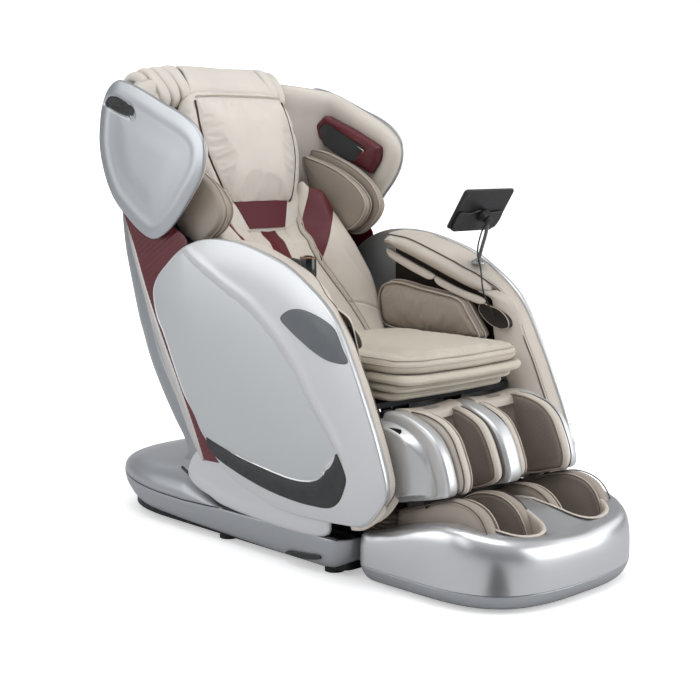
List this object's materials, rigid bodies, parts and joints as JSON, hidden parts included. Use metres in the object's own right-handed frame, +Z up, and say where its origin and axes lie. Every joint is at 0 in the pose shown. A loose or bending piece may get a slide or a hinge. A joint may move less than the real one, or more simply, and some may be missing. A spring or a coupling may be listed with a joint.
{
  "type": "massage chair",
  "caption": "Reclining massage chair with side shells, head wings, channelled calf and foot rests, travelling back rollers, control dial and tablet stand.",
  "frame": {"origin": "on the floor, at the middle of the chair's length and width", "axes": "+Z up, the sitter looks along -Y, +X is the tablet side"},
  "size_m": [0.714, 1.53, 1.218],
  "materials": {
    "silver_paint": "metallic silver lacquer",
    "silver_panel": "light metallic silver lacquer",
    "shadow_silver": "darker metallic silver lacquer",
    "black_trim": "fine textured black",
    "leather_beige": "soft grained upholstery leather",
    "leather_dark": "soft dark lining",
    "leather_maroon": "dark red leather",
    "maroon_panel": "dark red moulding with fine diagonal ribs",
    "mesh_brown": "woven stretch mesh",
    "fabric_brown": "pleated dust cloth",
    "steel_black": "black powder coat",
    "steel_zinc": "zinc plated",
    "rubber_black": "moulded rubber",
    "plastic_black": "satin black plastic",
    "plastic_grey": "moulded plastic",
    "screen_glass": "tablet case with a glass front",
    "roller_rubber": "soft roller tyre"
  },
  "bodies": {
    "base": {"base_pan": "steel_black", "base_skirt": "silver_paint", "base_cover": "silver_paint", "base_slot_trims": "black_trim", "floor_feet": "rubber_black", "slide_rails": "steel_zinc", "power_inlet": "plastic_black"},
    "transport_wheels": {"transport_wheels": "plastic_grey"},
    "power_rocker": {"power_rocker": "plastic_grey"},
    "carriage": {"seat_frame": "steel_black", "side_shells": "silver_paint", "side_panels": "silver_panel", "side_accents": "black_trim", "lower_side_covers": "silver_paint", "front_trims": "leather_beige", "arm_pads": "leather_beige", "arm_liners": "leather_dark", "hip_pads": "leather_beige", "seat_cushion": "leather_beige", "seat_valance": "leather_beige", "bellows": "fabric_brown", "air_pump": "plastic_black", "control_box": "plastic_grey"},
    "back_actuator": {"back_actuator_tube": "steel_black"},
    "back_rod": {"back_actuator_rod": "steel_zinc"},
    "leg_actuator": {"leg_actuator_tube": "steel_black"},
    "leg_rod": {"leg_actuator_rod": "steel_zinc"},
    "dial": {"control_dial": "plastic_black"},
    "dial_button": {"dial_button": "plastic_grey"},
    "tablet_arm": {"tablet_stalk": "plastic_black"},
    "tablet": {"tablet_holder": "plastic_black", "tablet": "screen_glass"},
    "backrest": {"back_frame": "steel_black", "roller_track": "steel_zinc", "back_shell": "shadow_silver", "pillar_strips": "silver_panel", "back_side_panels": "maroon_panel", "wings": "silver_panel", "wing_pads": "leather_beige", "speaker_bezels": "maroon_panel", "speaker_grilles": "plastic_black", "shoulder_pads": "leather_beige", "back_pad": "leather_beige", "head_pillow": "leather_beige", "headrest_cover": "leather_beige"},
    "roller_carriage": {"roller_carriage": "plastic_grey"},
    "kneading_arms": {"kneading_arms": "steel_zinc"},
    "upper_rollers": {"upper_rollers": "roller_rubber"},
    "lower_rollers": {"lower_rollers": "roller_rubber"},
    "leg_rest": {"calf_shell": "silver_paint", "leg_frame": "steel_black", "calf_pads": "leather_beige", "calf_liners": "mesh_brown"},
    "foot_unit": {"foot_shell": "silver_paint", "foot_base": "silver_paint", "foot_pads": "leather_beige", "foot_liners": "mesh_brown", "foot_slides": "steel_zinc"},
    "foot_rollers": {"foot_rollers": "roller_rubber"}
  },
  "joints": [
    {"name": "seat_slide", "type": "slide", "parent": "base", "child": "carriage", "axis": [0, -1, 0], "range_m": [0, 0.1205]},
    {"name": "back_recline", "type": "hinge", "parent": "carriage", "child": "backrest", "pos_m": [0, 0.32, 0.29], "axis": [-1, 0, 0], "range_deg": [0, 45]},
    {"name": "leg_lift", "type": "hinge", "parent": "carriage", "child": "leg_rest", "pos_m": [0, -0.385, 0.345], "axis": [-1, 0, 0], "range_deg": [0, 75]},
    {"name": "foot_extend", "type": "slide", "parent": "leg_rest", "child": "foot_unit", "axis": [0, -0.2588, -0.9659], "range_m": [0, 0.1205]},
    {"name": "back_actuator_swing", "type": "hinge", "parent": "carriage", "child": "back_actuator", "pos_m": [0.12, -0.02, 0.225], "axis": [1, 0, 0], "range_deg": [0, 1.41]},
    {"name": "back_actuator_stroke", "type": "slide", "parent": "back_actuator", "child": "back_rod", "axis": [0, 0.9985, -0.0555], "range_m": [-0.06704, 0]},
    {"name": "leg_actuator_swing", "type": "hinge", "parent": "carriage", "child": "leg_actuator", "pos_m": [-0.12, -0.02, 0.165], "axis": [1, 0, 0], "range_deg": [0, 0.9494]},
    {"name": "leg_actuator_stroke", "type": "slide", "parent": "leg_actuator", "child": "leg_rod", "axis": [0, -0.9734, 0.2292], "range_m": [0, 0.14781]},
    {"name": "roller_travel", "type": "slide", "parent": "backrest", "child": "roller_carriage", "axis": [0, 0.5902, 0.8073], "range_m": [-0.22, 0.26]},
    {"name": "kneading_tilt", "type": "hinge", "parent": "roller_carriage", "child": "kneading_arms", "pos_m": [0, 0.39227, 0.70935], "axis": [1, 0, 0], "range_deg": [-10, 10]},
    {"name": "upper_roller_spin", "type": "hinge", "parent": "kneading_arms", "child": "upper_rollers", "pos_m": [0, 0.40347, 0.77549], "axis": [1, 0, 0], "continuous": true},
    {"name": "lower_roller_spin", "type": "hinge", "parent": "kneading_arms", "child": "lower_rollers", "pos_m": [0, 0.33264, 0.67861], "axis": [1, 0, 0], "continuous": true},
    {"name": "foot_roller_spin", "type": "hinge", "parent": "foot_unit", "child": "foot_rollers", "pos_m": [0, -0.54, 0.04], "axis": [1, 0, 0], "continuous": true},
    {"name": "transport_wheel_spin", "type": "hinge", "parent": "base", "child": "transport_wheels", "pos_m": [0, 0.662, 0.038], "axis": [1, 0, 0], "continuous": true},
    {"name": "power_rocker_tilt", "type": "hinge", "parent": "base", "child": "power_rocker", "pos_m": [0.016, 0.748, 0.066], "axis": [1, 0, 0], "range_deg": [-5, 5]},
    {"name": "dial_turn", "type": "hinge", "parent": "carriage", "child": "dial", "pos_m": [-0.246, -0.092, 0.7], "axis": [0, 0, 1], "range_deg": [-150, 150]},
    {"name": "dial_press", "type": "slide", "parent": "dial", "child": "dial_button", "axis": [0, 0, -1], "range_m": [0, 0.002]},
    {"name": "tablet_swivel", "type": "hinge", "parent": "carriage", "child": "tablet_arm", "pos_m": [0.285, -0.165, 0.7], "axis": [0, 0, 1], "range_deg": [-40, 30]},
    {"name": "tablet_tilt", "type": "hinge", "parent": "tablet_arm", "child": "tablet", "pos_m": [0.262, -0.215, 0.815], "axis": [1, 0, 0], "range_deg": [-5, 30]}
  ],
  "couplings": [
    {"joint": "seat_slide", "follows": "back_recline", "m_per_rad": 0.15279},
    {"joint": "back_actuator_swing", "follows": "back_recline", "ratio": 0.030638},
    {"joint": "back_actuator_stroke", "follows": "back_recline", "m_per_rad": -0.084507},
    {"joint": "foot_extend", "follows": "leg_lift", "m_per_rad": 0.091673},
    {"joint": "leg_actuator_swing", "follows": "leg_lift", "ratio": 0.01241},
    {"joint": "leg_actuator_stroke", "follows": "leg_lift", "m_per_rad": 0.1118}
  ]
}
